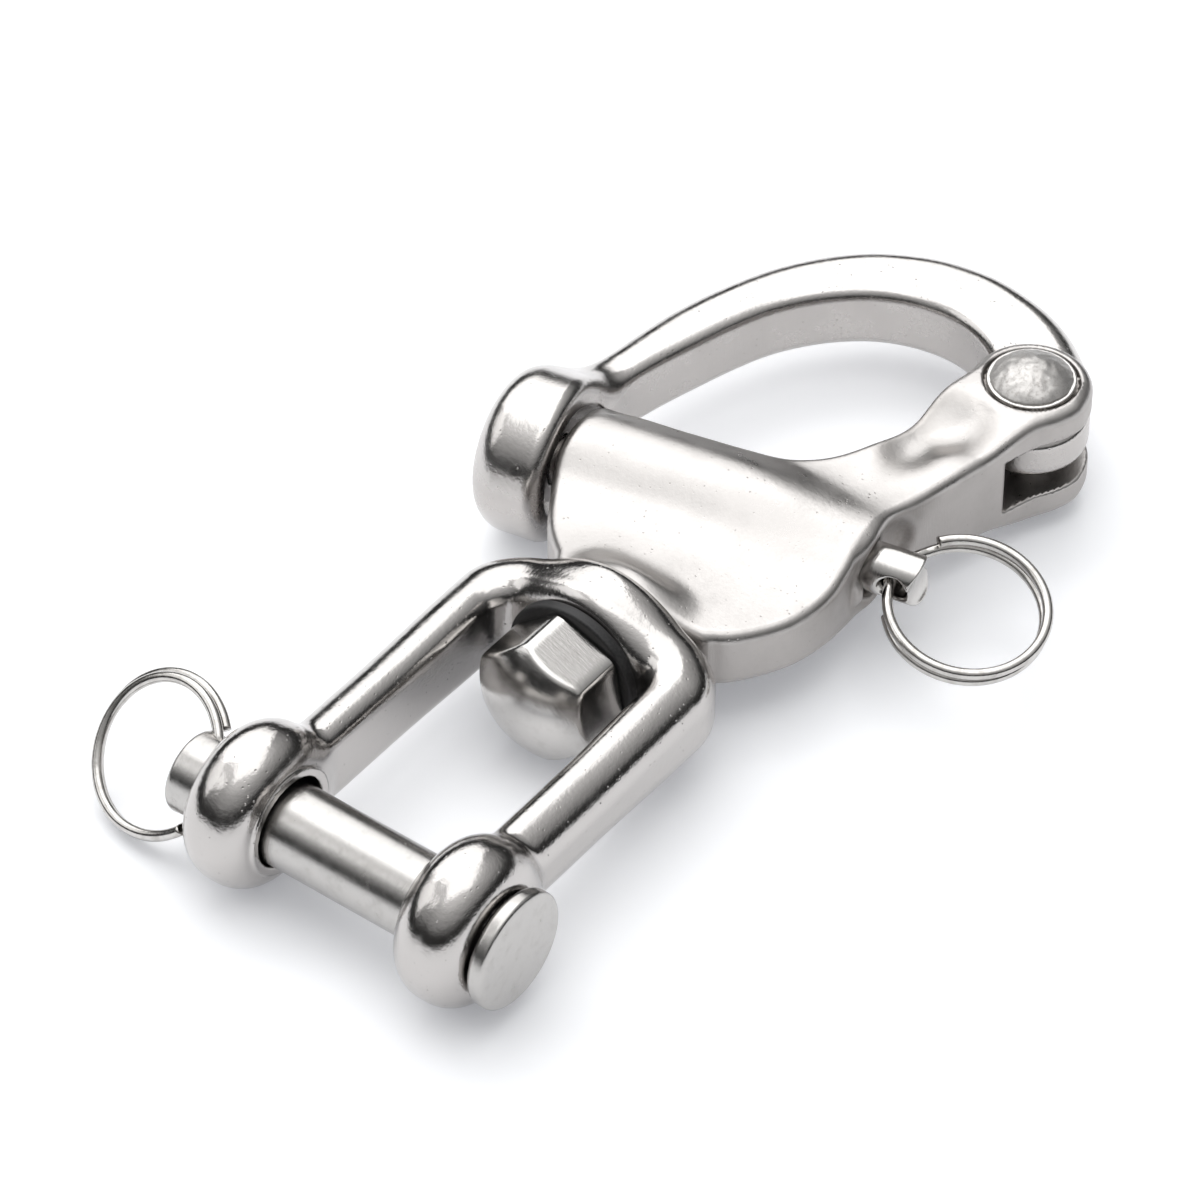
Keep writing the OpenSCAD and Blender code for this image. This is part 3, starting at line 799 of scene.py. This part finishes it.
satin_cast = cast_steel("satin_cast", 0.26, 0.36, 0.5, 0.8, 0.84)
bright_cast = cast_steel("bright_cast", 0.14, 0.22, 0.4, 0.7)
jaw_cast = cast_steel("jaw_cast", 0.08, 0.17, 0.9, 0.2, 0.93)
pin_steel = turned_steel("pin_steel", (0.35, 9.0, 0.35), 0.17, 0.26, 0.1, 0.86)
bolt_steel = turned_steel("bolt_steel", (5.0, 0.5, 0.5), 0.12, 0.2, 0.1)
lug_steel = turned_steel("lug_steel", (1.0, 5.0, 1.0), 0.10, 0.16)
rivet_steel = turned_steel("rivet_steel", (1.5, 1.5, 1.5), 0.32, 0.42, 0.8, 0.9)
wire_steel = drawn_wire("wire_steel")
washer_black = painted_shade_black("washer_black")

# ---------------------------------------------------------------- pieces
THIN, FINE, MID, COARSE = 0.12, 0.165, 0.24, 0.36  # cells of the surface nets
MARGIN = 0.6  # searched round each node's box


def piece(name, field, cell, body, node, slot, material):
    """Mesh a field where its CAD node lies."""
    low, high = node_box(node)
    points, faces, normals, hollow = surface(field, low - MARGIN, high + MARGIN, cell)
    add_mesh(name, points, faces, body, node, slot, material, normals, hollow)


piece("body_casting", body_field, COARSE, "body", "main_body", "cast_steel", satin_cast)
piece("bow_casting", bow_field, COARSE, "bow", "bow", "cast_steel", bright_cast)
piece("jaw_casting", jaw_field, COARSE, "jaw", "jaw", "cast_steel", jaw_cast)
piece("clevis_pin_turned", pin_field, MID, "clevis_pin", "clevis_pin", "turned_steel", pin_steel)
piece("swivel_bolt_turned", bolt_field, MID, "body", "swivel_bolt", "turned_steel", bolt_steel)
piece("plunger_turned", plunger_field, FINE, "plunger", "plunger", "turned_steel", lug_steel)
piece("pivot_rivet_hammered", rivet_field, FINE, "body", "pivot_rivet", "turned_steel", rivet_steel)
# the washer is coloured black as painted shade of the gap between the bolt head and the jaw
piece("swivel_washer_shade_black", black_washer_field, FINE, "body", "swivel_washer", "black_washer",
      washer_black)
for node in ("rivet_washer_top", "rivet_washer_bottom"):
    low, high = node_box(node)
    field = rivet_washer_field(low[2], high[2])
    piece(node + "_stamped", field, THIN, "body", node, "turned_steel", lug_steel)

add_mesh("clevis_ring_wire", *split_ring(**CLEVIS_RING), "clevis_ring", "clevis_ring", "wire", wire_steel)
add_mesh("pull_ring_wire", *split_ring(**PULL_RING), "pull_ring", "pull_ring", "wire", wire_steel)
coil = tube(spring_path(), SPRING_WIRE_R, 12)
spring = add_mesh("plunger_spring_coil", *coil, "body", "plunger_spring", "wire", wire_steel)
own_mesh(spring)

# ---------------------------------------------------------------- floor, light and camera
STAGE_X, FLOOR_SIZE, BACKDROP_R = 0.06, 8, 3.8  # in metres
FLOOR_GLOW, BACKDROP_GLOW = 0.2, 0.85
bpy.ops.mesh.primitive_plane_add(size=FLOOR_SIZE, location=(STAGE_X, 0, TABLE_Z * MM))
floor = bpy.context.object
floor.name = "floor"
floor.data.materials.append(floor_paper("floor_paper", FLOOR_GLOW))
floor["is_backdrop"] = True

# pale backdrop, which only the camera sees, so that it takes no light from the metal
bpy.ops.mesh.primitive_uv_sphere_add(segments=64, ring_count=32, radius=BACKDROP_R,
                                     location=(STAGE_X, 0, 0))
backdrop = bpy.context.object
backdrop.name = "backdrop"
for ray in ("diffuse", "glossy", "transmission", "volume_scatter", "shadow"):
    setattr(backdrop, "visible_" + ray, False)
backdrop.data.materials.append(floor_paper("backdrop_paper", BACKDROP_GLOW))
backdrop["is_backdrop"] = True

# the photograph's view: degrees round and up, metres away, and degrees of field
VIEW_TURN, VIEW_RISE, VIEW_DISTANCE, VIEW_FIELD = 52.8, 43.5, 0.645, 11.546
VIEW_AIM = (31.27, -8.82, 20.62)
turn, rise = math.radians(VIEW_TURN), math.radians(VIEW_RISE)
ahead = Vector((math.sin(turn), math.cos(turn), 0))
forward = ahead * math.cos(rise) - Vector((0, 0, math.sin(rise)))
aim = Vector(VIEW_AIM) * MM

camera = bpy.data.objects.new("camera", bpy.data.cameras.new("camera"))
camera.data.angle = math.radians(VIEW_FIELD)
camera.data.clip_start = 0.01
camera.location = aim - forward * VIEW_DISTANCE
camera.rotation_euler = forward.to_track_quat("-Z", "Y").to_euler()
bpy.context.scene.collection.objects.link(camera)
bpy.context.scene.camera = camera
bpy.context.scene.view_settings.view_transform = "Standard"


LIT_POINT = Vector((0.055, 0, 0))  # the middle of the object


def softbox(name, toward, distance, width, height, energy):
    """Rectangular area light facing the object from a direction in the part's frame."""
    data = bpy.data.lights.new(name, "AREA")
    data.shape, data.size, data.size_y = "RECTANGLE", width, height
    data.energy = energy
    light = bpy.data.objects.new(name, data)
    direction = Vector(toward).normalized()
    light.location = LIT_POINT + direction * distance
    light.rotation_euler = (-direction).to_track_quat("-Z", "Y").to_euler()
    bpy.context.scene.collection.objects.link(light)


# directions as the photograph sees them: away from the camera, to the right, and up
right = Vector((math.cos(turn), -math.sin(turn), 0))
softbox("back_softbox", ahead * 0.75 - right * 0.25 + Vector((0, 0, 0.8)), 1.0, 1.1, 0.8, 4.4)
softbox("left_softbox", -right + ahead * 0.15 + Vector((0, 0, 0.75)), 1.1, 0.8, 0.6, 1.5)
softbox("top_softbox", Vector((0.05, 0.05, 1)), 0.9, 0.9, 0.9, 2.6)


# brightness of the room at each height, where 0 is the horizon and 1 is straight up
ROOM = ((0.0, 0.25), (0.05, 0.03), (0.28, 0.07), (0.44, 0.40), (0.70, 0.75), (0.86, 1.25),
        (1.0, 1.35))
ROOM_STRENGTH = 0.75


def grey(level):
    return (level, level, level, 1)


def studio_world():
    """Room seen in the metal: a dark band just above the horizon, brightening up to the ceiling."""
    world = bpy.data.worlds.new("studio")
    bpy.context.scene.world = world
    world.use_nodes = True
    tree = world.node_tree
    background = tree.nodes["Background"]
    coordinates = tree.nodes.new("ShaderNodeTexCoord")
    split = tree.nodes.new("ShaderNodeSeparateXYZ")
    tree.links.new(coordinates.outputs["Generated"], split.inputs[0])
    ramp = tree.nodes.new("ShaderNodeValToRGB")
    ends = ramp.color_ramp.elements
    ends[0].position, ends[1].position = ROOM[0][0], ROOM[-1][0]
    ends[0].color, ends[1].color = grey(ROOM[0][1]), grey(ROOM[-1][1])
    for height, level in ROOM[1:-1]:
        ramp.color_ramp.elements.new(height).color = grey(level)
    tree.links.new(split.outputs["Z"], ramp.inputs["Fac"])
    tree.links.new(ramp.outputs["Color"], background.inputs["Color"])
    background.inputs["Strength"].default_value = ROOM_STRENGTH


studio_world()

low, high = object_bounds()
